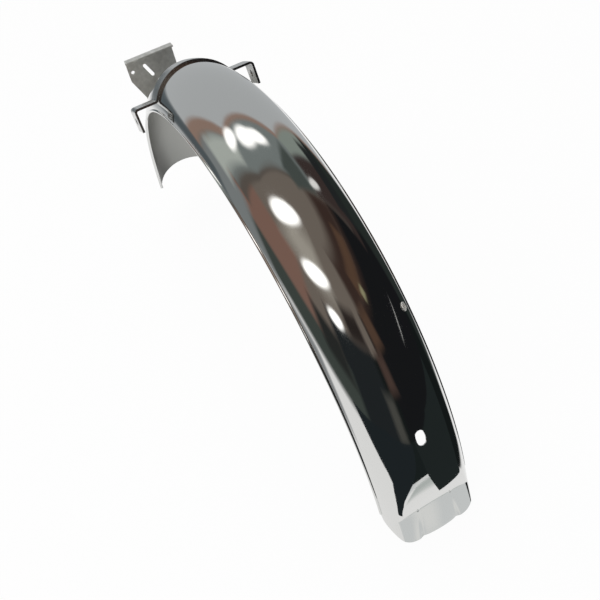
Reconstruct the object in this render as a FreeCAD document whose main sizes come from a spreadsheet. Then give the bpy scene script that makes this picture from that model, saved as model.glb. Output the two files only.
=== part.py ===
import FreeCAD, Part
import math
import os

import Sketcher
from FreeCAD import Placement, Rotation, Vector

# Rear mudguard: X runs to the right seen from behind, Y forward, Z up, origin on the wheel's axis.
# Angles round the wheel are counted from straight up, positive towards the rear.

doc = FreeCAD.newDocument("rear_mudguard")
sheet = doc.addObject("Spreadsheet::Sheet", "sizes")

SIZES = [
    ("crown_radius", 300.0, "wheel axis to the outer face of the crown"),
    ("guard_width", 82.6, "over the side walls"),
    ("guard_depth", 30.8, "crown to side edge"),
    ("gauge", 1.0, "sheet of the shell"),
    ("bead_dia", 3.2, "rolled side edge"),
    ("front_angle", 77.2, "front end, forward of the top"),
    ("tail_angle", 68.0, "where the tail form may begin"),
    ("root_length", 3.0, "how far the tail's root runs into the arc"),
    ("root_inset", 0.1, "root of the tail, below the arc's faces"),
    ("press_angle", 71.8, "where the pressed facet meets the crown"),
    ("crease_angle", 80.6, "crease at the root of the lip"),
    ("lip_angle", 88.6, "end of the lip before trimming"),
    ("crease_bow", 2.6, "how far the crease runs down at the side walls"),
    ("press_depth", 13.4, "how far the crown is pressed in at the crease"),
    ("panel_crown", 120.0, "radius of the pressed facet across the guard"),
    ("lip_flare", 4.4, "rise of the lip at its end"),
    ("lobe_rise", 2.0, "further rise of the two corner lobes"),
    ("groove_depth", 0.8, "valley on each side of the middle panel"),
    ("panel_width", 31.0, "middle panel at the crease"),
    ("panel_spread", 2.6, "widening of the middle panel on each side"),
    ("lip_height", 12.0, "end of the lip above the wheel axis"),
    ("corner_width", 15.5, "trimmed corner, across"),
    ("corner_height", 25.0, "trimmed corner, upwards"),
    ("slot_angle", 65.4, "middle of the oval slot"),
    ("slot_width", 8.0, "oval slot, across"),
    ("slot_length", 13.6, "oval slot, along the crown"),
    ("eyelet_angle", 47.2, "eyelet, behind the top"),
    ("eyelet_slope", 48.4, "eyelet, round the section from the crown"),
    ("eyelet_dia", 7.4, "rim of the eyelet"),
    ("eyelet_bore", 3.4, "hole of the eyelet"),
    ("eyelet_wall", 0.6, "wall of the eyelet"),
    ("strap_angle", 21.4, "middle of the strap, forward of the top"),
    ("strap_width", 26.0, "along the crown"),
    ("strap_gauge", 2.2, "strap metal"),
    ("seat_gap", 0.05, "welded faces kept apart"),
    ("ear_span", 124.8, "over the two ears"),
    ("ear_drop", 20.4, "crown to the top of the ears"),
    ("ear_depth", 22.4, "ear, downwards"),
    ("bend_radius", 4.0, "outer radius of the bends"),
    ("ear_hole", 6.6, "bolt hole of an ear"),
    ("plate_inset", 36.0, "rear face of the plate, back from the crown's radius"),
    ("plate_drop", 68.0, "top of the plate below the crown"),
    ("plate_gauge", 2.0, "plate metal"),
    ("head_width", 57.0, "head of the plate"),
    ("head_height", 27.0, "head of the plate"),
    ("neck_width", 36.0, "neck of the plate"),
    ("taper_height", 25.0, "shoulder between head and neck"),
    ("lip_depth", 8.5, "lip folded back along the top"),
    ("foot_angle", 7.0, "foot along the crown"),
    ("pilot_hole", 4.4, "small hole near the head's left edge"),
    ("pilot_offset", 23.4, "small hole, from the middle"),
    ("pilot_drop", 16.8, "small hole, below the top"),
    ("hook_width", 4.0, "slanting slot of the head"),
    ("hook_length", 19.0, "slanting slot of the head"),
    ("hook_slope", 24.0, "lean of the slot from upright"),
    ("hook_offset", 5.2, "slot, from the middle to the left"),
    ("hook_drop", 21.0, "slot, below the top"),
]
for line, (name, value, note) in enumerate(SIZES, start=1):
    sheet.set("A%d" % line, name)
    sheet.set("B%d" % line, str(value))
    sheet.set("C%d" % line, note)
    sheet.setAlias("B%d" % line, name)
doc.recompute()


def size(name):
    return float(getattr(sheet, name))


def cell(text):
    """Write a formula with the sheet's names as an expression."""
    for name, value, note in SIZES:
        text = text.replace("{%s}" % name, "sizes.%s" % name)
    return text


R = size("crown_radius")
T = size("gauge")
HALF = size("guard_width") / 2
DEPTH = size("guard_depth")
RHO = (HALF ** 2 + DEPTH ** 2) / (2 * DEPTH)
BETA = 2 * math.atan(DEPTH / HALF)
HUB = R - RHO
BEAD = size("bead_dia") / 2
BEAD_SIDES = 6
GAP = size("seat_gap")


def around(x, r, angle):
    """Point at a distance from the wheel's axis and an angle from the top."""
    return Vector(x, -r * math.sin(angle), r * math.cos(angle))


def new_body(label):
    body = doc.addObject("PartDesign::Body", label)
    body.Label = label
    return body


def new_sketch(body, plane, label, offset=Placement()):
    """Sketch on one of the body's own origin planes."""
    sketch = body.newObject("Sketcher::SketchObject", label)
    found = [f for f in body.Origin.OriginFeatures if f.Role == plane]
    sketch.AttachmentSupport = [(found[0], "")]
    sketch.MapMode = "FlatFace"
    sketch.AttachmentOffset = offset
    doc.recompute()
    return sketch


def draw(sketch, edges):
    """Closed outline whose edges follow one another."""
    first = sketch.addGeometry(edges, False)[0]
    ends = []
    for edge in edges:
        ends.append((edge.StartPoint, edge.EndPoint))
    count = len(edges)
    for i in range(count):
        j = (i + 1) % count
        best = None
        for a in (0, 1):
            for b in (0, 1):
                gap = ends[i][a].distanceToPoint(ends[j][b])
                if best is None or gap < best[0]:
                    best = (gap, a + 1, b + 1)
        sketch.addConstraint(Sketcher.Constraint("Coincident", first + i, best[1], first + j, best[2]))
    return first


def arc(centre, radius, start, end):
    """Arc in the sketch plane, angles in radians from the sketch's X axis."""
    circle = Part.Circle(Vector(centre[0], centre[1], 0), Vector(0, 0, 1), radius)
    return Part.ArcOfCircle(circle, start, end)


def line(a, b):
    return Part.LineSegment(Vector(a[0], a[1], 0), Vector(b[0], b[1], 0))


def circle_at(sketch, x, y, formula, value):
    """Circle held at a point of the sketch, its diameter bound to the sheet."""
    ring = sketch.addGeometry(Part.Circle(Vector(x, y, 0), Vector(0, 0, 1), value / 2), False)
    sketch.addConstraint(Sketcher.Constraint("DistanceX", -1, 1, ring, 3, x))
    sketch.addConstraint(Sketcher.Constraint("DistanceY", -1, 1, ring, 3, y))
    fix = sketch.addConstraint(Sketcher.Constraint("Diameter", ring, value))
    sketch.setExpression("Constraints[%d]" % fix, cell(formula))
    return ring


def checked(feature):
    doc.recompute()
    if "Invalid" in feature.State or "Error" in feature.State:
        raise RuntimeError("feature failed: " + feature.Label)
    return feature


# Shell, first the plain arc: a round section turned about the wheel's axis, its edges rolled.

def section_point(radius, angle):
    """Point of the section, at a radius and an angle from the crown."""
    return (radius * math.sin(angle), HUB + radius * math.cos(angle))


quarter = math.pi / 2
arc_body = new_body("guard_arc")
section = new_sketch(arc_body, "XZ_Plane", "guard_section")
edges = [
    arc((0, HUB), RHO, quarter - BETA, quarter + BETA),
    line(section_point(RHO, -BETA), section_point(RHO - T, -BETA)),
    arc((0, HUB), RHO - T, quarter - BETA, quarter + BETA),
    line(section_point(RHO - T, BETA), section_point(RHO, BETA)),
]
draw(section, edges)
turned = arc_body.newObject("PartDesign::Revolution", "guard_turned")
turned.Profile = section
turned.ReferenceAxis = (section, ["H_Axis"])
turned.setExpression("Angle", cell("{front_angle} + {tail_angle}"))
checked(turned)
front_turn = Placement(Vector(), Rotation(Vector(1, 0, 0), -size("front_angle")))
arc_body.Placement = front_turn

# Both side edges carry a rolled bead, down to where the tail's corners begin.
roll = new_body("edge_roll")
roll_section = new_sketch(roll, "XZ_Plane", "roll_section")
for side in (-1, 1):
    middle = section_point(RHO - T / 2, side * BETA)
    corners = []
    for k in range(BEAD_SIDES + 1):
        lean = side * BETA + 2 * math.pi * (k + 0.5) / BEAD_SIDES
        corners.append((middle[0] + BEAD * math.cos(lean), middle[1] - BEAD * math.sin(lean)))
    draw(roll_section, [line(corners[k], corners[k + 1]) for k in range(BEAD_SIDES)])
rolled = roll.newObject("PartDesign::Revolution", "roll_turned")
rolled.Profile = roll_section
rolled.ReferenceAxis = (roll_section, ["H_Axis"])
rolled.setExpression("Angle", cell(
    "{front_angle} * 1 deg + acos(({lip_height} + {corner_height} + {bead_dia}) / ({crown_radius} - {guard_depth}))"))
checked(rolled)
roll.Placement = front_turn

# Shell, then the formed tail: a skin through points of one formula, given the sheet's thickness.
# Its root is a little thinner than the arc and runs into it, so that no faces lie in one another.
TAIL = math.radians(size("tail_angle"))
PRESS = math.radians(size("press_angle"))
CREASE = math.radians(size("crease_angle"))
LIP = math.radians(size("lip_angle"))
START = TAIL - size("root_length") / R
SPREAD = BETA * 0.999
FOLD = 1.8
ROWS = 41
COLUMNS = 65


def lower_of(a, b, round_off):
    """The smaller of two heights, the corner between them rounded."""
    return (a + b - math.sqrt((a - b) ** 2 + round_off ** 2)) / 2


def step(t):
    """Rise from 0 to 1 with level ends."""
    t = min(max(t, 0.0), 1.0)
    return t * t * (3 - 2 * t)


def blend(angle):
    """Share of the tail's own form, none at its root."""
    return step((angle - TAIL) / (PRESS - TAIL))


def inset(angle):
    return size("root_inset") * (1 - blend(angle))


def tail_radius(x, angle):
    """Distance of the tail's outer face from the wheel's axis."""
    plain = HUB + math.sqrt((RHO - inset(angle)) ** 2 - x ** 2)
    crease = CREASE + math.radians(size("crease_bow")) * (x / HALF) ** 2
    ramp = lower_of((angle - PRESS) / (crease - PRESS), 1.0, 0.08)
    facet = R - size("press_depth") * ramp - x ** 2 / (2 * size("panel_crown"))
    pressed = lower_of(plain, facet, FOLD)
    along = max(0.0, (angle - crease) / (LIP - crease))
    past = abs(x) - size("panel_width") / 2 - size("panel_spread") * along
    lobe = step(past / (3 * FOLD) + 0.5)
    groove = math.exp(-(past / (2 * FOLD)) ** 2)
    wall = 1 - step((abs(x) - 0.8 * HALF) / (0.2 * HALF))
    form = (size("lip_flare") + size("lobe_rise") * lobe) * wall - size("groove_depth") * groove
    return plain + blend(angle) * (pressed - plain) + along * form


def end_height(x):
    """Height of the trimmed end above the wheel's axis, its corners rounded, seen from behind."""
    width = size("corner_width")
    past = max(0.0, abs(x) - HALF + width) / width
    return size("lip_height") + size("corner_height") * (1 - math.sqrt(max(0.0, 1 - past ** 2)))


def end_angle(x):
    """Angle at which a line along the tail meets the trimmed end."""
    low = PRESS
    high = math.radians(95)
    for turn in range(40):
        middle = (low + high) / 2
        if tail_radius(x, middle) * math.cos(middle) > end_height(x):
            low = middle
        else:
            high = middle
    return low


def outer_point(i, j):
    x = RHO * math.sin(SPREAD * (2 * j / (COLUMNS - 1) - 1))
    angle = START + (end_angle(x) - START) * i / (ROWS - 1)
    return around(x, tail_radius(x, angle), angle)


def inner_point(point):
    """Point of the inner face below a point of the outer one."""
    x = point.x
    angle = math.atan2(-point.y, point.z)
    tiny = 1e-4
    low = max(x - tiny, -RHO * math.sin(SPREAD))
    high = min(x + tiny, RHO * math.sin(SPREAD))
    by_x = (tail_radius(high, angle) - tail_radius(low, angle)) / (high - low)
    by_angle = (tail_radius(x, angle + tiny) - tail_radius(x, angle - tiny)) / (2 * tiny)
    across = Vector(1, 0, 0) + around(0, by_x, angle)
    along = around(0, by_angle, angle) + around(0, tail_radius(x, angle), angle + quarter)
    normal = along.cross(across).normalize()
    return point - normal * math.copysign(T - 2 * inset(angle), normal.dot(point))


def skin(grid):
    surface = Part.BSplineSurface()
    surface.interpolate(grid)
    return surface.toShape()


def edge_near(face, a, b):
    """Edge of a skin that joins two of its corners."""
    def miss(edge):
        ends = [v.Point for v in edge.Vertexes]
        return min(ends[0].distanceToPoint(a) + ends[-1].distanceToPoint(b),
                   ends[0].distanceToPoint(b) + ends[-1].distanceToPoint(a))
    return min(face.Edges, key=miss)


def tail_solid():
    outer_grid = [[outer_point(i, j) for j in range(COLUMNS)] for i in range(ROWS)]
    inner_grid = [[inner_point(point) for point in row] for row in outer_grid]
    outer_skin = skin(outer_grid)
    inner_skin = skin(inner_grid)
    faces = [outer_skin, inner_skin]
    for first, second in (((0, 0), (0, -1)), ((0, -1), (-1, -1)), ((-1, -1), (-1, 0)), ((-1, 0), (0, 0))):
        rims = []
        for face, grid in ((outer_skin, outer_grid), (inner_skin, inner_grid)):
            rims.append(edge_near(face, grid[first[0]][first[1]], grid[second[0]][second[1]]))
        faces.append(Part.makeRuledSurface(rims[0], rims[1]))
    shell = Part.makeShell(faces)
    shell.sewShape()
    solid = Part.makeSolid(shell)
    if solid.Volume < 0:
        solid.reverse()
    return solid


rolled_arc = doc.addObject("Part::MultiFuse", "guard_rolled")
rolled_arc.Shapes = [arc_body, roll]
rolled_arc.Refine = False
checked(rolled_arc)
tail = doc.addObject("Part::Feature", "guard_tail")
blank = doc.addObject("Part::MultiFuse", "guard_blank")
blank.Shapes = [rolled_arc, tail]
blank.Refine = False
tail.Shape = tail_solid()
checked(blank)
least = rolled_arc.Shape.Volume + tail.Shape.Volume / 2
if len(blank.Shape.Solids) != 1 or blank.Shape.Volume < least:
    raise RuntimeError("the tail does not join the arc")

# The oval slot runs along the crown's middle.
slot = new_body("slot_tool")
slot_plan = new_sketch(slot, "XY_Plane", "slot_plan")
half_run = (size("slot_length") - size("slot_width")) / 2
half_slot = size("slot_width") / 2


def oval(across, along, middle=(0, 0), turn=0.0):
    """Slot about a point of a sketch, upright or turned to the left."""
    def at(u, v):
        x = middle[0] + u * math.cos(turn) - v * math.sin(turn)
        y = middle[1] + u * math.sin(turn) + v * math.cos(turn)
        return (x, y)
    return [
        line(at(across, -along), at(across, along)),
        arc(at(0, along), across, turn, turn + math.pi),
        line(at(-across, along), at(-across, -along)),
        arc(at(0, -along), across, turn + math.pi, turn + 2 * math.pi),
    ]


draw(slot_plan, oval(half_slot, half_run))
punch = slot.newObject("PartDesign::Pad", "slot_punch")
punch.Profile = slot_plan
punch.Midplane = True
punch.setExpression("Length", cell("{gauge} * 12"))
checked(punch)
slot_turn = Rotation(Vector(1, 0, 0), size("slot_angle"))
slot.Placement = Placement(around(0, R, math.radians(size("slot_angle"))), slot_turn)

# The eyelet's hole looks square out of the right wall.
SLOPE = math.radians(size("eyelet_slope"))
EYELET = math.radians(size("eyelet_angle"))
eyelet_x, eyelet_r = section_point(RHO, SLOPE)
eyelet_at = around(eyelet_x, eyelet_r, EYELET)
eyelet_out = around(math.sin(SLOPE), math.cos(SLOPE), EYELET)
eyelet_turn = Rotation(Vector(0, 0, 1), eyelet_out)
drill = doc.addObject("Part::Cylinder", "eyelet_drill")
drill.setExpression("Radius", cell("{eyelet_bore} / 2 + {eyelet_wall} + {seat_gap}"))
drill.setExpression("Height", cell("{gauge} * 12"))
drill.Placement = Placement(eyelet_at - eyelet_out * T * 6, eyelet_turn)
doc.recompute()

tools = doc.addObject("Part::MultiFuse", "shell_tools")
tools.Shapes = [slot, drill]
checked(tools)
guard = doc.addObject("Part::Cut", "guard_shell")
guard.Base = blank
guard.Tool = tools
guard.Refine = False
checked(guard)

# Strap: a flat band over the crown, an ear turned out and down on each side.
STRAP = size("strap_gauge")
EAR = size("ear_span") / 2
TOP = R - size("ear_drop")
BEND = size("bend_radius")
ROOT = BEND - STRAP
over = RHO + GAP + STRAP
root_y = TOP + ROOT
root_x = math.sqrt((over + ROOT) ** 2 - (root_y - HUB) ** 2)
lean = math.atan2(root_x, root_y - HUB)
bottom = TOP - size("ear_depth")


def face_of_strap(sink):
    """One face of the strap from the right ear over to the left, sunk below the top face."""
    radius = over - sink
    ear = EAR - sink
    bend = BEND - sink
    root = ROOT + sink
    top = TOP - sink
    return [
        line((ear, bottom), (ear, TOP - BEND)),
        arc((EAR - BEND, TOP - BEND), bend, 0, quarter),
        line((EAR - BEND, top), (root_x, top)),
        arc((root_x, root_y), root, -quarter - lean, -quarter),
        arc((0, HUB), radius, quarter - lean, quarter + lean),
        arc((-root_x, root_y), root, -quarter, -quarter + lean),
        line((-root_x, top), (BEND - EAR, top)),
        arc((BEND - EAR, TOP - BEND), bend, quarter, math.pi),
        line((-ear, TOP - BEND), (-ear, bottom)),
    ]


strap = new_body("saddle_strap")
strap_line = new_sketch(strap, "XZ_Plane", "strap_line")
edges = face_of_strap(0)
edges.append(line((-EAR, bottom), (STRAP - EAR, bottom)))
edges += reversed(face_of_strap(STRAP))
edges.append(line((EAR - STRAP, bottom), (EAR, bottom)))
draw(strap_line, edges)
band = strap.newObject("PartDesign::Revolution", "strap_band")
band.Profile = strap_line
band.ReferenceAxis = (strap_line, ["H_Axis"])
band.Midplane = True
band.setExpression("Angle", cell("{strap_width} / {crown_radius} * 180 / pi"))
checked(band)
ear_plan = new_sketch(strap, "YZ_Plane", "ear_plan")
circle_at(ear_plan, 0, bottom + size("ear_depth") / 2 - STRAP / 2, "{ear_hole}", size("ear_hole"))
bolt = strap.newObject("PartDesign::Pocket", "ear_bolt")
bolt.Profile = ear_plan
bolt.Type = "ThroughAll"
bolt.Midplane = True
checked(bolt)
strap.Placement = Placement(Vector(), Rotation(Vector(1, 0, 0), -size("strap_angle")))

# Bracket: an upright plate with a head, a lip folded back along its top and a foot on the crown.
PLATE = size("plate_gauge")
REACH = R - size("plate_inset")
HEAD = R - size("plate_drop")
bracket = new_body("front_bracket")
face = new_sketch(bracket, "XZ_Plane", "plate_face", Placement(Vector(0, 0, -REACH), Rotation()))
half_head = size("head_width") / 2
half_neck = size("neck_width") / 2
shoulder = HEAD - size("head_height")
waist = shoulder - size("taper_height")


def sole_height(x):
    """Height of the foot's middle face where the plate stands on it."""
    r = HUB + math.sqrt((RHO + GAP + PLATE / 2) ** 2 - x ** 2)
    return math.sqrt(r ** 2 - (REACH + PLATE / 2) ** 2)


under = sole_height(half_neck)
stand_on = Part.Arc(Vector(half_neck, under, 0), Vector(0, sole_height(0), 0), Vector(-half_neck, under, 0))
edges = [
    line((-half_head, HEAD), (half_head, HEAD)),
    line((half_head, HEAD), (half_head, shoulder)),
    line((half_head, shoulder), (half_neck, waist)),
    line((half_neck, waist), (half_neck, under)),
    stand_on,
    line((-half_neck, under), (-half_neck, waist)),
    line((-half_neck, waist), (-half_head, shoulder)),
    line((-half_head, shoulder), (-half_head, HEAD)),
]
draw(face, edges)
plate = bracket.newObject("PartDesign::Pad", "plate")
plate.Profile = face
plate.setExpression("Length", cell("{plate_gauge}"))
plate.Reversed = True
checked(plate)

side_view = new_sketch(bracket, "YZ_Plane", "lip_side")
fold = size("lip_depth")
edges = [
    line((REACH - fold, HEAD), (REACH + PLATE / 2, HEAD)),
    line((REACH + PLATE / 2, HEAD), (REACH + PLATE / 2, HEAD - PLATE)),
    line((REACH + PLATE / 2, HEAD - PLATE), (REACH - fold, HEAD - PLATE)),
    line((REACH - fold, HEAD - PLATE), (REACH - fold, HEAD)),
]
draw(side_view, edges)
folded = bracket.newObject("PartDesign::Pad", "folded_lip")
folded.Profile = side_view
folded.Midplane = True
folded.setExpression("Length", cell("{head_width}"))
checked(folded)

# The foot is turned about the wheel's axis, clear of the crown.
stand = math.degrees(math.asin((REACH + PLATE / 2) / R))
tilt = Placement(Vector(), Rotation(Vector(1, 0, 0), -stand - size("foot_angle")))
sole = new_sketch(bracket, "XZ_Plane", "foot_section", tilt)
outside = RHO + GAP + PLATE
inside = RHO + GAP
spread = math.asin(half_neck / outside)
edges = [
    arc((0, HUB), outside, quarter - spread, quarter + spread),
    line(section_point(outside, -spread), section_point(inside, -spread)),
    arc((0, HUB), inside, quarter - spread, quarter + spread),
    line(section_point(inside, spread), section_point(outside, spread)),
]
draw(sole, edges)
foot_turn = bracket.newObject("PartDesign::Revolution", "foot")
foot_turn.Profile = sole
foot_turn.ReferenceAxis = (sole, ["H_Axis"])
foot_turn.setExpression("Angle", cell("{foot_angle}"))
checked(foot_turn)

holes = new_sketch(bracket, "XZ_Plane", "head_holes", Placement(Vector(0, 0, -REACH), Rotation()))
circle_at(holes, -size("pilot_offset"), HEAD - size("pilot_drop"), "{pilot_hole}", size("pilot_hole"))
hook_half = size("hook_width") / 2
hook_run = size("hook_length") / 2 - hook_half
hook_at = (-size("hook_offset"), HEAD - size("hook_drop"))
draw(holes, oval(hook_half, hook_run, hook_at, math.radians(size("hook_slope"))))
pierce = bracket.newObject("PartDesign::Pocket", "head_pierce")
pierce.Profile = holes
pierce.Type = "ThroughAll"
pierce.Midplane = True
checked(pierce)


def edges_at(shape, y, z, slack):
    """Names of the straight edges along X that lie at a height and a reach."""
    names = []
    for number, edge in enumerate(shape.Edges, start=1):
        box = edge.BoundBox
        near = abs(box.YMin - y) < slack and abs(box.ZMin - z) < slack
        if near and box.YLength < slack and box.ZLength < slack:
            names.append("Edge%d" % number)
    return names


soft = bracket.newObject("PartDesign::Fillet", "lip_bend")
soft.Base = (pierce, edges_at(pierce.Shape, REACH + PLATE, HEAD, 0.01))
soft.setExpression("Radius", cell("{plate_gauge} * 1.4"))
checked(soft)
inner_bend = bracket.newObject("PartDesign::Fillet", "lip_inner_bend")
inner_bend.Base = (soft, edges_at(soft.Shape, REACH, HEAD - PLATE, 0.01))
inner_bend.setExpression("Radius", cell("{plate_gauge} * 0.4"))
checked(inner_bend)

# Eyelet: a rim outside, a barrel through the wall and a turned-over rim inside.
eyelet = new_body("side_eyelet")
turning = new_sketch(eyelet, "XZ_Plane", "eyelet_turning")
bore = size("eyelet_bore") / 2
wall = size("eyelet_wall")
rim = size("eyelet_dia") / 2
barrel = bore + wall
clinch = barrel + (rim - barrel) / 2
rise = GAP + 1.4 * wall
inner_face = -T - clinch ** 2 / RHO
lowest = inner_face - wall
bevel = wall / 2
edges = [
    line((bore, lowest), (bore, rise - bevel)),
    line((bore, rise - bevel), (bore + bevel, rise)),
    line((bore + bevel, rise), (rim - wall, rise)),
    line((rim - wall, rise), (rim, rise - wall)),
    line((rim, rise - wall), (rim, GAP)),
    line((rim, GAP), (barrel, GAP)),
    line((barrel, GAP), (barrel, inner_face)),
    line((barrel, inner_face), (clinch, inner_face)),
    line((clinch, inner_face), (clinch, lowest)),
    line((clinch, lowest), (bore, lowest)),
]
draw(turning, edges)
spun = eyelet.newObject("PartDesign::Revolution", "eyelet_spun")
spun.Profile = turning
spun.ReferenceAxis = (turning, ["V_Axis"])
spun.Angle = 360
checked(spun)
eyelet.Placement = Placement(eyelet_at, eyelet_turn)
doc.recompute()

for thing in doc.Objects:
    if "Invalid" in thing.State or "Error" in thing.State:
        raise RuntimeError("object failed: " + thing.Label)
os.makedirs("parts", exist_ok=True)
for node in (guard, strap, bracket, eyelet):
    shape = node.Shape
    if shape.isNull() or not shape.isValid() or len(shape.Solids) != 1:
        raise RuntimeError("bad shape: " + node.Label)
    shape.exportStep("parts/%s.step" % node.Label)
    print(node.Label, round(shape.Volume, 1), shape.optimalBoundingBox())
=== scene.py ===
import math

import bpy
from mathutils import Matrix, Vector


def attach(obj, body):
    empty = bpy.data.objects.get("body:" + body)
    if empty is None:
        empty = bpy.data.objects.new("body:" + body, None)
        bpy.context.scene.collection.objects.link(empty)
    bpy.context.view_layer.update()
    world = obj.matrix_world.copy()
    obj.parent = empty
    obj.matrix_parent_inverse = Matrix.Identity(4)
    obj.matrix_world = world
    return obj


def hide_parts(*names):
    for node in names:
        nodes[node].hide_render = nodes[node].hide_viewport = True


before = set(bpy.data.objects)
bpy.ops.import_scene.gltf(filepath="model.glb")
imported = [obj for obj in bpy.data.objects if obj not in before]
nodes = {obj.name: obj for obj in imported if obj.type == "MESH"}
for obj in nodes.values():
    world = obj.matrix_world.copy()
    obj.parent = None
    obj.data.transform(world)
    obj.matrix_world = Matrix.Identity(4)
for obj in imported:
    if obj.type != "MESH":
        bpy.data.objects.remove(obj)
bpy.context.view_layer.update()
scene = bpy.context.scene
MM = 0.001

# Sizes of the shell, in millimetres, as the part's source has them.
CROWN = 300.0
HALF = 41.3
DEPTH = 30.8
GAUGE = 1.0
BEAD = 1.6
FRONT = math.radians(-77.2)
TAIL = math.radians(68.0)
PRESS = math.radians(71.8)
CREASE = math.radians(80.6)
LIP = math.radians(88.6)
CREASE_BOW = math.radians(2.6)
CREASE_ROUND = 0.08
PRESS_DEPTH = 13.4
PANEL_CROWN = 120.0
PANEL_HALF = 15.5
PANEL_SPREAD = 2.6
FOLD = 1.8
LOBE_RAMP = 3 * FOLD
LOBE_RISE = 2.0
GROOVE_HALF = 2 * FOLD
GROOVE_DEPTH = 0.8
LIP_FLARE = 4.4
WALL_START = 0.8
LIP_HEIGHT = 12.0
CORNER_WIDTH = 15.5
CORNER_HEIGHT = 25.0
SLOT_ANGLE = math.radians(65.4)
SLOT_HALF = 4.0
SLOT_RUN = 2.8
EYELET_ANGLE = math.radians(47.2)
EYELET_SLOPE = math.radians(48.4)
EYELET_HOLE = 2.35
RHO = (HALF ** 2 + DEPTH ** 2) / (2 * DEPTH)
BETA = 2 * math.atan(DEPTH / HALF)
HUB = CROWN - RHO

# Press marks at the corners of the crease, which only the skin has.
PIT_DEPTH = 0.4
PIT_ACROSS = 1.3
PIT_ALONG = 1.5

# How finely the skin is divided.
COLUMNS = 121
ARC_ROWS = 145
TAIL_ROWS = 110
BEAD_SIDES = 14
BEAD_ROWS = 150
HOLE_ROOM = 1.0
STEEPEST = math.radians(95)
HALVINGS = 40


def linear(code):
    """Colour written as sRGB hex, given as the linear values that a shader takes."""
    values = []
    for at in (0, 2, 4):
        v = int(code[at:at + 2], 16) / 255
        values.append(v / 12.92 if v <= 0.04045 else ((v + 0.055) / 1.055) ** 2.4)
    return (*values, 1.0)


def new_material(name):
    """Material with an empty node tree."""
    material = bpy.data.materials.new(name)
    material.use_nodes = True
    material.node_tree.nodes.clear()
    return material, material.node_tree


def add(tree, kind, settings=None, **inputs):
    """Node with settings; its inputs, named or numbered as at0, take values or other nodes' outputs."""
    node = tree.nodes.new(kind)
    for key, value in (settings or {}).items():
        setattr(node, key, value)
    for key, value in inputs.items():
        numbered = key.startswith("at")
        socket = node.inputs[int(key[2:])] if numbered else node.inputs[key.replace("_", " ")]
        if isinstance(value, bpy.types.NodeSocket):
            tree.links.new(value, socket)
        else:
            socket.default_value = value
    return node


def place_in_scene(name, data):
    """Object of a mesh, lamp or camera, linked to the scene."""
    piece = bpy.data.objects.new(name, data)
    scene.collection.objects.link(piece)
    return piece


# Shell: one dense skin through the same formula as the part's source, with round beads.

def around(x, r, angle):
    """Point at a distance from the wheel's axis, its angle counted from straight up to the rear."""
    return Vector((x, -r * math.sin(angle), r * math.cos(angle)))


def lower_of(a, b, round_off):
    """The smaller of two heights, the corner between them rounded."""
    return (a + b - math.sqrt((a - b) ** 2 + round_off ** 2)) / 2


def step(t):
    """Rise from 0 to 1 with level ends."""
    t = min(max(t, 0.0), 1.0)
    return t * t * (3 - 2 * t)


def shell_radius(x, angle):
    """Distance of the outer face from the wheel's axis."""
    plain = HUB + math.sqrt(RHO ** 2 - x ** 2)
    if angle <= TAIL:
        return plain
    crease = CREASE + CREASE_BOW * (x / HALF) ** 2
    ramp = lower_of((angle - PRESS) / (crease - PRESS), 1.0, CREASE_ROUND)
    facet = CROWN - PRESS_DEPTH * ramp - x ** 2 / (2 * PANEL_CROWN)
    pressed = lower_of(plain, facet, FOLD)
    along = max(0.0, (angle - crease) / (LIP - crease))
    past = abs(x) - PANEL_HALF - PANEL_SPREAD * along
    lobe = step(past / LOBE_RAMP + 0.5)
    groove = math.exp(-(past / GROOVE_HALF) ** 2)
    wall = 1 - step((abs(x) / HALF - WALL_START) / (1 - WALL_START))
    form = (LIP_FLARE + LOBE_RISE * lobe) * wall - GROOVE_DEPTH * groove
    pit = math.exp(-(past / PIT_ACROSS) ** 2 - ((angle - crease) * CROWN / PIT_ALONG) ** 2)
    blend = step((angle - TAIL) / (PRESS - TAIL))
    return plain + blend * (pressed - plain) + along * form - PIT_DEPTH * pit


def end_height(x):
    """Height of the trimmed end above the wheel's axis, its corners rounded."""
    past = max(0.0, abs(x) - HALF + CORNER_WIDTH) / CORNER_WIDTH
    return LIP_HEIGHT + CORNER_HEIGHT * (1 - math.sqrt(max(0.0, 1 - past ** 2)))


def end_angle(x):
    """Angle at which a line along the tail meets the trimmed end."""
    low, high = PRESS, STEEPEST
    for turn in range(HALVINGS):
        middle = (low + high) / 2
        if shell_radius(x, middle) * math.cos(middle) > end_height(x):
            low = middle
        else:
            high = middle
    return low


def outer_at(slope, angle):
    """Point of the outer face, its slope counted round the section from the crown."""
    x = RHO * math.sin(slope)
    return around(x, shell_radius(x, angle), angle)


def normal_at(slope, angle):
    """Normal of the outer face, from points a tiny step away and never past the side edges."""
    tiny = 1e-4
    side = tiny if slope < 0 else -tiny
    across = (outer_at(slope + side, angle) - outer_at(slope, angle)) * (1 if side > 0 else -1)
    along = outer_at(slope, angle + tiny) - outer_at(slope, angle - tiny)
    return across.cross(-along).normalized()


class Skin:
    """Vertices, faces, a normal for every corner and a material number for every face."""

    def __init__(self):
        self.points = []
        self.faces = []
        self.normals = []
        self.numbers = []

    def vertex(self, point):
        self.points.append(point * MM)
        return len(self.points) - 1

    def face(self, corners, normals, number):
        self.faces.append(corners)
        self.normals.append(normals)
        self.numbers.append(number)

    def object(self, name, materials):
        mesh = bpy.data.meshes.new(name)
        mesh.from_pydata(self.points, [], self.faces)
        for material in materials:
            mesh.materials.append(material)
        mesh.polygons.foreach_set("material_index", self.numbers)
        mesh.polygons.foreach_set("use_smooth", [True] * len(self.faces))
        mesh.normals_split_custom_set([n for face in self.normals for n in face])
        return place_in_scene(name, mesh)


slopes = [BETA * (2 * j / (COLUMNS - 1) - 1) for j in range(COLUMNS)]
ends = [end_angle(RHO * math.sin(s)) for s in slopes]


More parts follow.
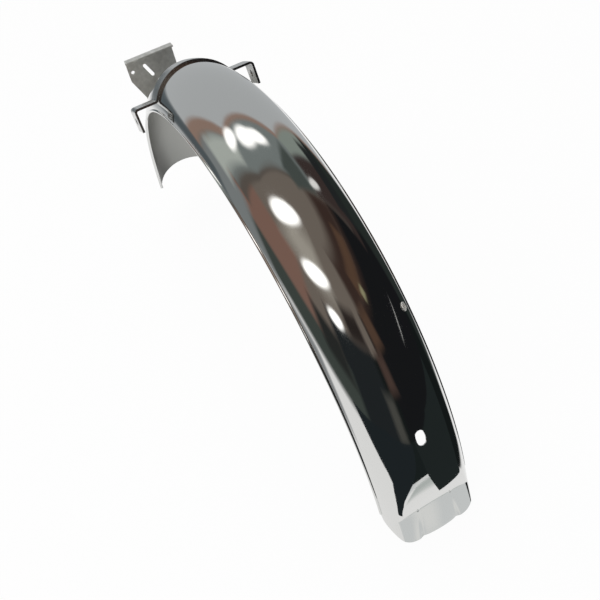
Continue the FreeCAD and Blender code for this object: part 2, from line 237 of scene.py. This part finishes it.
def row_angle(i, j):
    """Angle of a row of the grid, in the tail spread up to the trimmed end."""
    if i < ARC_ROWS:
        return FRONT + (TAIL - FRONT) * i / ARC_ROWS
    return TAIL + (ends[j] - TAIL) * (i - ARC_ROWS) / TAIL_ROWS


def oval(u, v, half, run):
    """Point of an oval's outline in a direction from its middle."""
    low, high = 0.0, 4 * (half + run)
    length = math.hypot(u, v)
    u, v = u / length, v / length
    for turn in range(HALVINGS):
        t = (low + high) / 2
        past = math.hypot(t * u, max(0.0, abs(t * v) - run)) - half
        low, high = (t, high) if past < 0 else (low, t)
    return low * u, low * v


class Hole:
    """Oval hole of the shell, in a block of cells that a ring of faces takes the place of."""

    def __init__(self, slope, angle, half, run):
        self.slope, self.angle, self.half, self.run = slope, angle, half, run
        self.reach = HUB + RHO * math.cos(slope)
        wide = (half + HOLE_ROOM) / RHO + BETA * 2 / COLUMNS
        long = (half + run + HOLE_ROOM) / self.reach + (TAIL - FRONT) / ARC_ROWS
        columns = [j for j in range(COLUMNS) if abs(slopes[j] - slope) < wide]
        rows = [i for i in range(ARC_ROWS) if abs(row_angle(i, 0) - angle) < long]
        self.i0, self.i1, self.j0, self.j1 = rows[0], rows[-1], columns[0], columns[-1]

    def covers(self, i, j):
        return self.i0 <= i < self.i1 and self.j0 <= j < self.j1

    def border(self):
        """Corners of the block in turn."""
        loop = [(self.i0, j) for j in range(self.j0, self.j1)]
        loop += [(i, self.j1) for i in range(self.i0, self.i1)]
        loop += [(self.i1, j) for j in range(self.j1, self.j0, -1)]
        loop += [(i, self.j0) for i in range(self.i1, self.i0, -1)]
        return loop

    def rim(self, i, j):
        """Slope and angle of the hole's edge opposite a corner of the block."""
        u = RHO * (slopes[j] - self.slope)
        v = self.reach * (row_angle(i, j) - self.angle)
        u, v = oval(u, v, self.half, self.run)
        return self.slope + u / RHO, self.angle + v / self.reach


holes = [Hole(0.0, SLOT_ANGLE, SLOT_HALF, SLOT_RUN),
         Hole(EYELET_SLOPE, EYELET_ANGLE, EYELET_HOLE, 0.0)]


def add_bead(skin, side):
    """Round bead along one side edge, closed at both ends."""
    x = side * (RHO - GAUGE / 2) * math.sin(BETA)
    r = HUB + (RHO - GAUGE / 2) * math.cos(BETA)
    finish = math.acos((LIP_HEIGHT + CORNER_HEIGHT + 2 * BEAD) / (CROWN - DEPTH))
    rings = []
    for i in range(BEAD_ROWS):
        angle = FRONT + (finish - FRONT) * i / (BEAD_ROWS - 1)
        ring = []
        for k in range(BEAD_SIDES):
            t = 2 * math.pi * k / BEAD_SIDES
            n = Vector((math.cos(t), 0, 0)) + around(0, math.sin(t), angle)
            ring.append((skin.vertex(around(x, r, angle) + n * BEAD), n))
        rings.append(ring)
    for ring, after in zip(rings, rings[1:]):
        for k in range(BEAD_SIDES):
            m = (k + 1) % BEAD_SIDES
            four = [ring[k], ring[m], after[m], after[k]]
            skin.face([v for v, n in four], [n for v, n in four], 0)
    front_out = around(0, -1, FRONT + math.pi / 2)
    tail_out = around(0, 1, finish + math.pi / 2)
    for ring, out in ((rings[0][::-1], front_out), (rings[-1], tail_out)):
        skin.face([v for v, n in ring], [out] * BEAD_SIDES, 0)


def build_shell(materials):
    """Whole shell: material 0 is its outside and edges, material 1 its inside."""
    skin = Skin()
    rows = ARC_ROWS + TAIL_ROWS + 1
    places = [[(slopes[j], row_angle(i, j)) for j in range(COLUMNS)] for i in range(rows)]
    points = [[outer_at(*p) for p in row] for row in places]
    normals = [[normal_at(*p) for p in row] for row in places]
    outer = [[skin.vertex(p) for p in row] for row in points]
    inner = [[skin.vertex(p - n * GAUGE) for p, n in zip(row, ns)] for row, ns in zip(points, normals)]

    def both(corner_normals, outside, inside):
        """One face outside and its fellow inside."""
        skin.face(outside, corner_normals, 0)
        skin.face(inside[::-1], [-n for n in corner_normals[::-1]], 1)

    def pick(grid, cells):
        return [grid[i][j] for i, j in cells]

    for i in range(rows - 1):
        for j in range(COLUMNS - 1):
            if any(h.covers(i, j) for h in holes):
                continue
            cell = [(i, j), (i + 1, j), (i + 1, j + 1), (i, j + 1)]
            both(pick(normals, cell), pick(outer, cell), pick(inner, cell))

    def edge(a, b, out):
        """Face of the sheet's edge between two places of the grid."""
        skin.face(pick(outer, [a, b]) + pick(inner, [b, a]), [out] * 4, 0)

    ahead = around(0, 1, FRONT - math.pi / 2)
    for j in range(COLUMNS - 1):
        edge((0, j), (0, j + 1), ahead)
        tangent = points[-1][j + 1] - points[-1][j]
        edge((rows - 1, j + 1), (rows - 1, j), tangent.cross(normals[-1][j]).normalized() * -1)
    for i in range(rows - 1):
        edge((i + 1, 0), (i, 0), Vector((-1, 0, 0)))
        edge((i, COLUMNS - 1), (i + 1, COLUMNS - 1), Vector((1, 0, 0)))

    for hole in holes:
        loop = hole.border()
        rim = [hole.rim(i, j) for i, j in loop]
        rim_normals = [normal_at(*p) for p in rim]
        rim_points = [outer_at(*p) for p in rim]
        rim_out = [skin.vertex(p) for p in rim_points]
        rim_in = [skin.vertex(p - n * GAUGE) for p, n in zip(rim_points, rim_normals)]
        middle = outer_at(hole.slope, hole.angle)
        inward = [(middle - p).normalized() for p in rim_points]
        for k in range(len(loop)):
            m = (k + 1) % len(loop)
            (a, b), (c, d) = loop[k], loop[m]
            both([normals[a][b], rim_normals[k], rim_normals[m], normals[c][d]],
                 [outer[a][b], rim_out[k], rim_out[m], outer[c][d]],
                 [inner[a][b], rim_in[k], rim_in[m], inner[c][d]])
            skin.face([rim_out[k], rim_in[k], rim_in[m], rim_out[m]],
                      [inward[k], inward[k], inward[m], inward[m]], 0)

    for side in (-1, 1):
        add_bead(skin, side)
    return skin.object("shell_skin", materials)


ZINC_CLOUD = 6.0


def metal(name, code, roughness, metallic=1.0, cloud_code=None):
    """Plated metal of one even colour, or clouded between two."""
    material, tree = new_material(name)
    colour = linear(code)
    if cloud_code:
        place = add(tree, "ShaderNodeTexCoord").outputs["Object"]
        cloud = add(tree, "ShaderNodeTexNoise", Vector=place, Scale=1 / (ZINC_CLOUD * MM), Detail=2.0)
        tone = add(tree, "ShaderNodeMix", {"data_type": "RGBA"}, at0=cloud.outputs[0],
                   at6=colour, at7=linear(cloud_code))
        colour = tone.outputs[2]
    plate = add(tree, "ShaderNodeBsdfPrincipled", Base_Color=colour, Metallic=metallic, Roughness=roughness)
    add(tree, "ShaderNodeOutputMaterial", Surface=plate.outputs["BSDF"])
    return material


# Bright chromium plate: a clear mirror, slightly softened by age.
chrome = metal("bright_chromium_plate", "dcdcda", 0.07)
# Satin steel: the inside of the shell, plated thin and never polished, an even soft grey.
satin = metal("satin_plated_steel", "b4b4b0", 0.5)
# Plated strip: chromium over unpolished steel, its reflections a little blurred.
strip = metal("plated_strip_steel", "d2d2d0", 0.22)
# Dull zinc plate: the bracket, grey with a broad soft shine and faint cloudy marks about 6 mm across.
dull = metal("dull_zinc_plated_steel", "b2b2ac", 0.42, 0.7, "eeeeea")
# Nickel: the small eyelet, bright and slightly warm.
nickel = metal("nickel_plated_brass", "f2f0ea", 0.35, 0.5)

shell = build_shell([chrome, satin])
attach(shell, "root")
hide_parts("guard_shell")

for name, material in (("saddle_strap", strip), ("front_bracket", dull), ("side_eyelet", nickel)):
    mesh = nodes[name].data
    mesh.materials.clear()
    mesh.materials.append(material)

# Studio: a pale floor, soft lamps and plain cards that the bright metal shows.
CENTRE = Vector((0.0, -0.05, 0.2))
CARD_STEP = 3
LAMP_RANGE = 10.0
LAMP_SIDES = 48
LAMP_CORE = 0.45


def towards(azimuth, elevation):
    """Direction, counted from straight ahead towards the right and upwards."""
    a, e = math.radians(azimuth), math.radians(elevation)
    return Vector((math.sin(a) * math.cos(e), math.cos(a) * math.cos(e), math.sin(e)))


def facing(azimuth, elevation, distance):
    """Place on a sphere about the part, its local Z looking back at the part."""
    out = towards(azimuth, elevation)
    side = Vector((math.cos(math.radians(azimuth)), -math.sin(math.radians(azimuth)), 0.0))
    turn = Matrix((-side, out.cross(side) * -1, -out)).transposed().to_4x4()
    return Matrix.Translation(CENTRE + out * distance) @ turn


def glow(tree, share, code, strength=1.0):
    """Even glow where the share is 1, clear where it is 0."""
    light = add(tree, "ShaderNodeEmission", Color=linear(code), Strength=strength)
    clear = add(tree, "ShaderNodeBsdfTransparent")
    mix = add(tree, "ShaderNodeMixShader", at0=share, at1=clear.outputs[0], at2=light.outputs[0])
    add(tree, "ShaderNodeOutputMaterial", Surface=mix.outputs[0])


def only_mirrored(piece):
    """The metal shows it, the camera and the light on dull surfaces do not."""
    piece.visible_camera = False
    piece.visible_diffuse = False
    piece.visible_shadow = False
    piece.visible_transmission = False


def stage_mesh(name, code, points, faces, fades):
    """Glowing sheet that is clear where its points' fade is 0."""
    mesh = bpy.data.meshes.new(name)
    mesh.from_pydata(points, [], faces)
    mesh.attributes.new("fade", "FLOAT", "POINT").data.foreach_set("value", fades)
    material, tree = new_material(name)
    fade = add(tree, "ShaderNodeAttribute", {"attribute_name": "fade"})
    glow(tree, fade.outputs["Fac"], code)
    mesh.materials.append(material)
    only_mirrored(place_in_scene(name, mesh))


def card(name, azimuths, elevations, code, distance, soft=3.0, ahead=None):
    """Patch of a sphere about the part, its edges soft over some degrees.

    With ahead, its top edge is that of a flat sheet standing square to that azimuth.
    """
    (left, right), (foot, head) = azimuths, elevations
    across = math.ceil((right - left) / CARD_STEP)
    upright = math.ceil((head - foot) / CARD_STEP)
    points = []
    fades = []
    for k in range(upright + 1):
        for m in range(across + 1):
            a = left + (right - left) * m / across
            top = head
            if ahead is not None:
                fall = math.cos(math.radians(a - ahead))
                top = math.degrees(math.atan(math.tan(math.radians(head)) * fall))
            e = foot + (top - foot) * k / upright
            edge = min(a - left, right - a, e - foot, top - e)
            points.append(CENTRE + towards(a, e) * distance)
            fades.append(min(1.0, edge / soft) if soft else 1.0)
    faces = []
    for k in range(upright):
        for m in range(across):
            first = k * (across + 1) + m
            faces.append((first, first + 1, first + across + 2, first + across + 1))
    stage_mesh(name, code, points, faces, fades)


def low_card(name, code, z, corners):
    """Level card close behind the tail, in millimetres."""
    points = [Vector((x, y, z)) * MM for x, y in corners]
    stage_mesh(name, code, points, [range(len(points))], [1.0] * len(points))


def soft_lamp(name, azimuth, elevation, wide, high, tilt, strength):
    """Oval lamp that fades towards its rim, its half sizes in degrees, as the metal shows it."""
    turns = [2 * math.pi * k / LAMP_SIDES for k in range(LAMP_SIDES)]
    points = [(0.0, 0.0, 0.0)] + [(math.cos(t), math.sin(t), 0.0) for t in turns]
    faces = [(0, 1 + k, 1 + (k + 1) % LAMP_SIDES) for k in range(LAMP_SIDES)]
    mesh = bpy.data.meshes.new(name)
    mesh.from_pydata(points, [], faces)
    material, tree = new_material(name)
    place = add(tree, "ShaderNodeTexCoord")
    reach = add(tree, "ShaderNodeVectorMath", {"operation": "LENGTH"}, at0=place.outputs["Object"])
    fade = add(tree, "ShaderNodeMapRange", {"interpolation_type": "SMOOTHSTEP"},
               at0=reach.outputs["Value"], at1=LAMP_CORE, at2=1.0, at3=1.0, at4=0.0)
    glow(tree, fade.outputs[0], "fffefc", strength)
    mesh.materials.append(material)
    piece = place_in_scene(name, mesh)
    half_sizes = [LAMP_RANGE * math.tan(math.radians(angle)) for angle in (wide, high)]
    turn = Matrix.Rotation(math.radians(tilt), 4, "Z") @ Matrix.Diagonal((*half_sizes, 1.0, 1.0))
    piece.matrix_world = facing(azimuth, elevation, LAMP_RANGE) @ turn
    only_mirrored(piece)


# The room all round, the white table below and the dark side behind the part, from far to near.
card("ceiling", (-180, 180), (-90, 90), "756c64", 17.2, 0)
card("white_table", (-180, 180), (-90, -16), "f6f6f6", 16.8, 0)
card("table_lip", (118, 206), (-52, -24), "dcdfe0", 16.68, 4)
card("table_lip_light", (158, 188), (-52, -26), "ecedec", 16.64, 10)
card("table_grey", (126, 180), (-64, -49), "c0c6c4", 16.6, 4)
card("rear_dark", (112, 200), (-28, 26), "1a1e1e", 16.4)
card("rear_left_dark", (190, 246), (-29, 30), "24282a", 16.2, 5)
card("side_dark", (70, 126), (-52, 26), "181c1c", 16)
card("right_black", (48, 182), (-20, 42), "1a1b1d", 15.6)
card("dark_brown", (80, 182), (32, 68), "3e302b", 15.52, 10)
card("brown_stripe", (104, 154), (39, 54), "5c4638", 15.44, 4)
card("yellow_glint", (136, 148), (36, 43), "a8a380", 15.36)
card("brown_streak_high", (158, 180), (23, 44), "584438", 15.34, 5)
card("brown_streak_middle", (170, 188), (7, 28), "50403a", 15.32, 5)
card("brown_streak_low", (184, 202), (-14, 12), "4e4e4a", 15.3, 6)

# The left side and the ceiling above it.
card("left_dark", (-124, -56), (-22, 8), "444b47", 15.28, 5)
card("left_brown", (-102, -46), (0, 40), "84675c", 15.2, 6)
card("left_low_dark", (-122, -95), (-6, 18), "2c2e2d", 15.18, 5)
card("ceiling_glow", (-148, -82), (32, 76), "a8a298", 15.16, 18)
card("rear_left_upper", (-170, -140), (24, 44), "2e2826", 15.14, 6)
card("left_low", (-64, -36), (-24, 14), "828788", 15.12, 4)
card("table_edge", (-78, -46), (-44, -21), "8f9294", 15.1, 4)

# The walls in front of the part and the grey backdrop before them.
card("ceiling_edge", (-66, 88), (14, 81), "5e5751", 14.96, 2, 12)
card("wall_grey", (-60, 84), (14, 79), "7c8382", 14.8, 4, 12)
card("wall_light", (-56, -37), (4, 50), "b6bcb6", 14.64, 5)
card("wall_dark", (50, 88), (44, 74), "4b524f", 14.48, 6)
card("right_brown", (60, 88), (4, 46), "3e3432", 14.4, 4)
card("right_grey", (44, 64), (4, 44), "8b948d", 14.32, 3)
card("right_foot", (54, 80), (0, 18), "26292a", 14.28, 3)
card("right_low", (46, 78), (-44, 4), "2a302e", 14.24, 4)
card("brown_edge", (-39, 53), (-17, 53), "967e72", 14, 2, 9)
card("grey_backdrop", (-32, 51), (-22, 49), "b7babc", 13.6, 2, 9)
card("backdrop_foot", (-46, 6), (-18, -4), "565e62", 13.2)

# Dark cards just below the crease give painted shade: a dark reflection that stands for the shaded space
# under the tail, which the facet shows and the lip does not.
low_card("shade_reflection_right", "242a2a", 52, [(7, -700), (400, -700), (400, -286), (7, -286)])
low_card("shade_reflection_middle", "1e2424", 51, [(-31, -700), (12, -700), (12, -330), (-31, -330)])
low_card("shade_reflection_left", "22282b", 46, [(-31, -700), (-31, -298), (-28, -290), (-29, -281), (-37, -284),
                                    (-52, -290), (-66, -297), (-82, -308), (-105, -313),
                                    (-400, -320), (-400, -700)])

soft_lamp("band_left", -36, 44, 12, 6, 140, 1.7)
soft_lamp("band_middle", -12, 59, 15, 8, 160, 1.7)
soft_lamp("band_right", 16, 61, 14, 6, 185, 1.6)
soft_lamp("lamp_left", -93.1, 62.8, 23, 7.1, 63.9, 2.4)
soft_lamp("lamp_rear", -121.4, 44.1, 19.5, 6.2, 30.1, 2.4)
soft_lamp("lamp_low", -128.2, 28.4, 10.2, 5, 20, 2.0)
soft_lamp("glint_right", 77.7, 39.2, 9, 3, 101.5, 0.9)
soft_lamp("glint_side", 110, 4, 12, 0.8, 0, 0.5)


def seen_directly(tree):
    """1 for what the camera and the metal show, 0 for the light on dull surfaces."""
    path = add(tree, "ShaderNodeLightPath")
    seen = path.outputs["Is Camera Ray"]
    for ray in ("Is Glossy Ray", "Is Transmission Ray"):
        either = add(tree, "ShaderNodeMath", {"operation": "MAXIMUM"}, at0=seen, at1=path.outputs[ray])
        seen = either.outputs[0]
    return seen


# White paper floor: mostly glow, so that it looks white, with a share of matt that takes the shadow.
# The metal shows the white table card in its place.
FLOOR_HALF = 6.0
FLOOR_HEIGHT = 0.0115
FLOOR_GLOW = 0.95
floor_mesh = bpy.data.meshes.new("floor")
floor_corners = [(x * FLOOR_HALF, y * FLOOR_HALF, 0) for x, y in ((-1, -1), (1, -1), (1, 1), (-1, 1))]
floor_mesh.from_pydata(floor_corners, [], [(0, 1, 2, 3)])
floor = place_in_scene("floor", floor_mesh)
floor.location.z = FLOOR_HEIGHT
floor.visible_glossy = False
paper, tree = new_material("white_paper_floor")
share = add(tree, "ShaderNodeMath", {"operation": "MULTIPLY"}, at0=seen_directly(tree), at1=FLOOR_GLOW)
matt = add(tree, "ShaderNodeBsdfDiffuse", Color=linear("f0f0f0"))
white = add(tree, "ShaderNodeEmission", Strength=1.0)
mix = add(tree, "ShaderNodeMixShader", at0=share.outputs[0], at1=matt.outputs[0], at2=white.outputs[0])
add(tree, "ShaderNodeOutputMaterial", Surface=mix.outputs[0])
floor_mesh.materials.append(paper)

# World: white where it is seen, half as strong as light.
WORLD_LIGHT = 0.5
world = bpy.data.worlds.new("studio")
scene.world = world
world.use_nodes = True
tree = world.node_tree
tree.nodes.clear()
level = add(tree, "ShaderNodeMapRange", at0=seen_directly(tree), at1=0.0, at2=1.0, at3=WORLD_LIGHT, at4=1.0)
sky = add(tree, "ShaderNodeBackground", Color=linear("ffffff"), Strength=level.outputs[0])
add(tree, "ShaderNodeOutputWorld", Surface=sky.outputs[0])


def lamp(name, azimuth, elevation, energy):
    """Soft lamp that lights the dull surfaces."""
    data = bpy.data.lights.new(name, "AREA")
    data.size = SOFTBOX_WIDTH
    data.energy = energy
    piece = place_in_scene(name, data)
    piece.matrix_world = facing(azimuth, elevation, SOFTBOX_RANGE) @ Matrix.Rotation(math.pi, 4, "X")
    piece.visible_glossy = False


SOFTBOX_WIDTH = 1.6
SOFTBOX_RANGE = 2.4
lamp("key", -110, 55, 22)
lamp("fill", 10, 62, 12)

# Camera, at the angle of the photograph.
EYE = Vector((-149.255, -547.932, 605.166)) * MM
RIGHT = Vector((0.87237496, -0.45529092, -0.1779666))
UP = Vector((0.44219144, 0.57977482, 0.68434486))
FOCAL_PIXELS = 744.843
PICTURE_PIXELS = 600.0
SENSOR = 36.0
camera_data = bpy.data.cameras.new("view")
camera_data.sensor_width = SENSOR
camera_data.lens = FOCAL_PIXELS * SENSOR / PICTURE_PIXELS
camera_data.clip_start = 0.01
camera = place_in_scene("view", camera_data)
camera_turn = Matrix((RIGHT, UP, RIGHT.cross(UP))).transposed().to_4x4()
camera.matrix_world = Matrix.Translation(EYE) @ camera_turn
scene.camera = camera

scene.view_settings.view_transform = "Standard"
